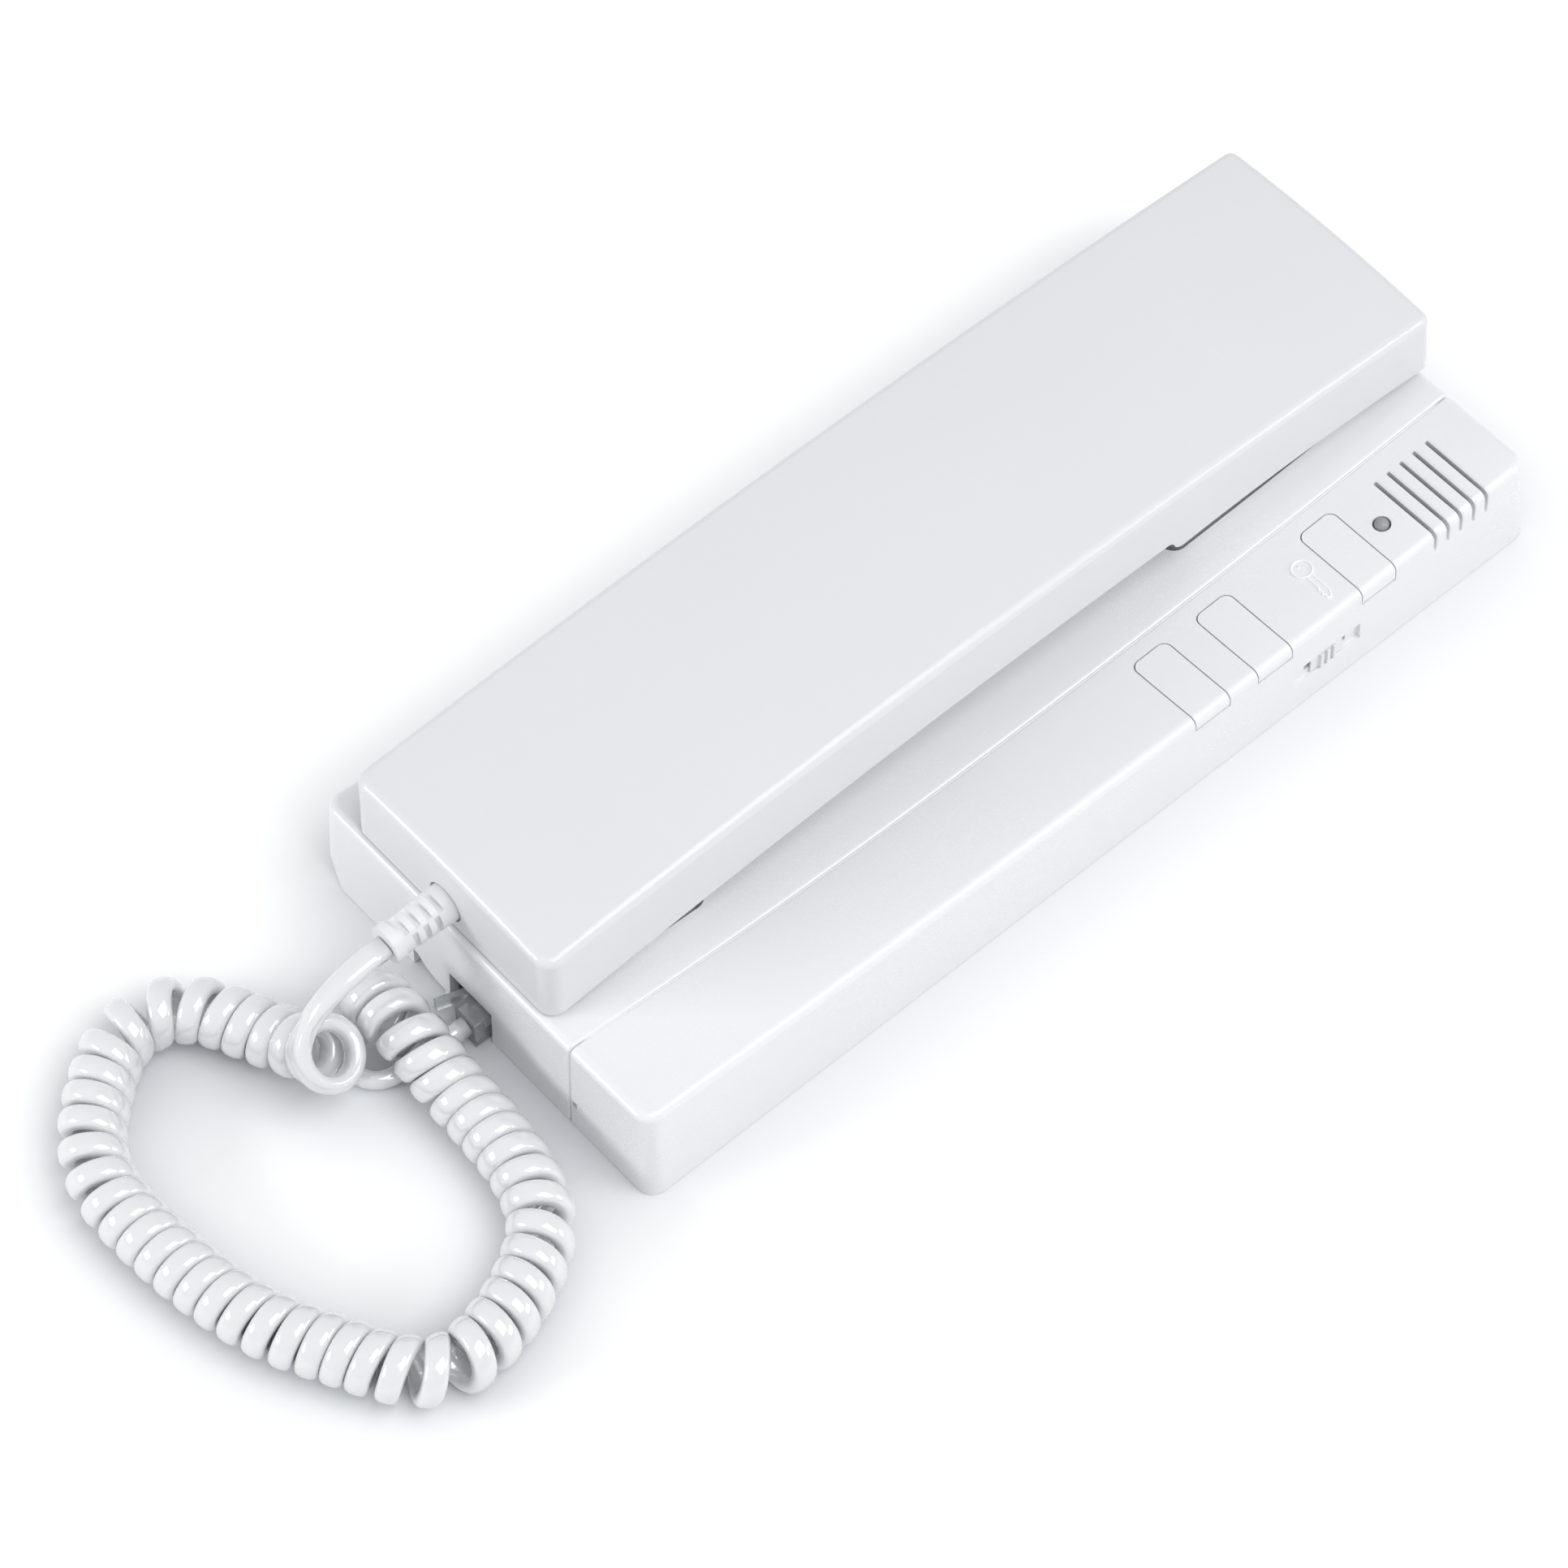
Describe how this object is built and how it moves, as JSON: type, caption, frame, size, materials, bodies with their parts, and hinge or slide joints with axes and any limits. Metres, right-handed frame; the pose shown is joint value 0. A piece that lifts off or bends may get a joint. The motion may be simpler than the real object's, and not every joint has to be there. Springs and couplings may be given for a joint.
{
  "type": "intercom indoor station",
  "caption": "Wall intercom station with a handset on a curly cord, a cradle with a hook switch, side keys, a speaker grille, a status lamp and a volume slide.",
  "frame": {"origin": "centre of the back plate's wall side", "axes": "+X to the right over the front, +Y to the top end, +Z out of the wall"},
  "size_m": [0.1054, 0.3, 0.0451],
  "materials": {
    "housing_plastic": "fine spark texture",
    "key_plastic": "fine spark texture",
    "cord_jacket": "glossy soft jacket",
    "sleeve_rubber": "matt",
    "inner_plastic": "smooth",
    "black_plastic": "matt",
    "terminal_plastic": "matt",
    "board_laminate": "solder mask",
    "clear_plastic": "clear",
    "contact_brass": "gilt",
    "screw_steel": "zinc plated",
    "silicone": "matt",
    "seal_foam": "foam",
    "capsule_metal": "satin",
    "cone_paper": "pressed paper"
  },
  "bodies": {
    "base": {"cradle_housing": "housing_plastic", "strip_cover": "housing_plastic", "back_plate": "inner_plastic", "main_board": "board_laminate", "board_screws": "screw_steel", "terminal_block": "terminal_plastic", "terminal_screws": "screw_steel", "handset_jack": "black_plastic", "jack_contacts": "contact_brass", "handset_plug": "clear_plastic", "plug_contacts": "contact_brass", "call_speaker": "black_plastic", "speaker_cone": "cone_paper", "status_led": "clear_plastic", "volume_switch": "black_plastic", "hook_switch": "black_plastic", "hook_leaf_spring": "screw_steel", "lower_dome": "silicone", "middle_dome": "silicone", "upper_dome": "silicone", "cord_coil": "cord_jacket", "cord_tail": "cord_jacket"},
    "handset": {"handset_cover": "housing_plastic", "handset_inner": "housing_plastic", "handset_screws": "screw_steel", "ear_seal": "seal_foam", "ear_capsule": "black_plastic", "mic_holder": "inner_plastic", "mic_capsule": "capsule_metal", "strain_relief": "sleeve_rubber", "cord_lead": "cord_jacket"},
    "hook": {"hook_lever": "inner_plastic"},
    "lower_key": {"lower_button": "key_plastic"},
    "middle_key": {"middle_button": "key_plastic"},
    "upper_key": {"upper_button": "key_plastic"},
    "volume_knob": {"volume_slider": "inner_plastic"}
  },
  "joints": [
    {"name": "handset_lift", "type": "slide", "parent": "base", "child": "handset", "axis": [0, 0, 1], "range_m": [0, 0.025], "deforming": ["cord_lead"]},
    {"name": "hook_rise", "type": "slide", "parent": "base", "child": "hook", "axis": [0, 0, 1], "range_m": [0, 0.003], "deforming": ["hook_leaf_spring"]},
    {"name": "lower_key_press", "type": "slide", "parent": "base", "child": "lower_key", "axis": [0, 0, -1], "range_m": [0, 0.0006], "stiffness_N_per_m": 600, "springref_m": -0.001, "deforming": ["lower_dome"]},
    {"name": "middle_key_press", "type": "slide", "parent": "base", "child": "middle_key", "axis": [0, 0, -1], "range_m": [0, 0.0006], "stiffness_N_per_m": 600, "springref_m": -0.001, "deforming": ["middle_dome"]},
    {"name": "upper_key_press", "type": "slide", "parent": "base", "child": "upper_key", "axis": [0, 0, -1], "range_m": [0, 0.0006], "stiffness_N_per_m": 600, "springref_m": -0.001, "deforming": ["upper_dome"]},
    {"name": "volume_slide", "type": "slide", "parent": "base", "child": "volume_knob", "axis": [0, 1, 0], "range_m": [-0.0042, 0.0042]}
  ],
  "couplings": [
    {"joint": "hook_rise", "follows": "handset_lift", "ratio": 0.12}
  ]
}
